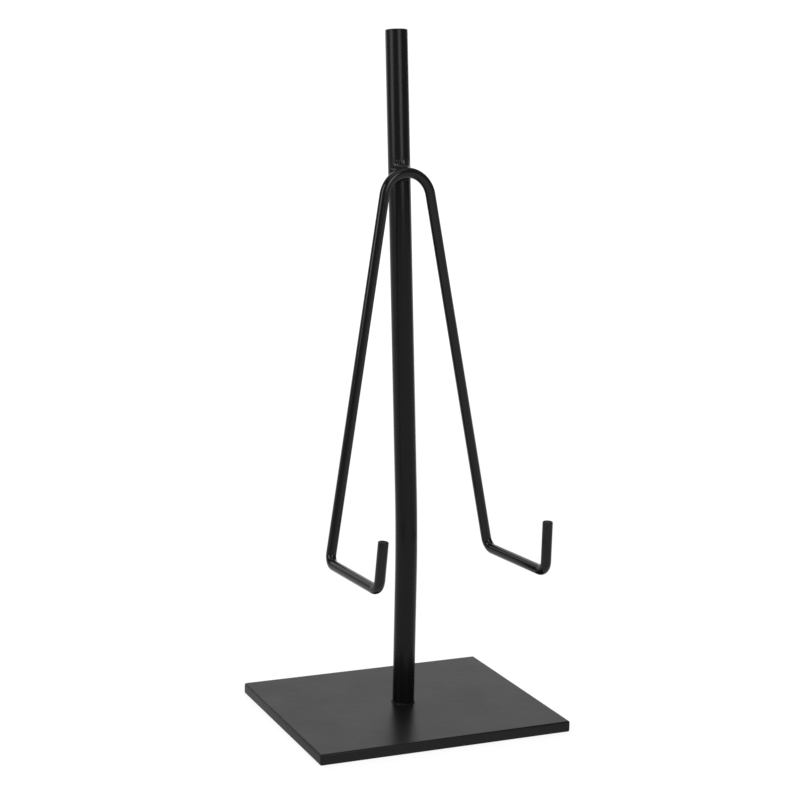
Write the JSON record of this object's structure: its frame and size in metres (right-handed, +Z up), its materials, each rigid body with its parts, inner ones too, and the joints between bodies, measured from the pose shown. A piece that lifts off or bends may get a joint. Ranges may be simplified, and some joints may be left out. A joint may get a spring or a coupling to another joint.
{
  "type": "display stand",
  "caption": "Black steel tabletop display stand: flat base plate, leaning round upright and a bent-rod cradle with level arms and upturned tips.",
  "frame": {"origin": "centre of the base plate's underside, on the surface that the stand rests on", "axes": "+Z up, +Y to the back, the way the upright leans, -Y to the front, where the arms and tips stand out, +X to the right seen from the front"},
  "size_m": [0.1532, 0.1438, 0.3944],
  "materials": {
    "black_paint": "satin black paint on smooth steel",
    "painted_weld": "satin black paint over a rippled weld bead"
  },
  "bodies": {
    "root": {"base_plate": "black_paint", "post": "black_paint", "foot_weld": "painted_weld", "cradle_rod": "black_paint", "cradle_weld_upper": "painted_weld", "cradle_weld_lower": "painted_weld"}
  },
  "joints": []
}
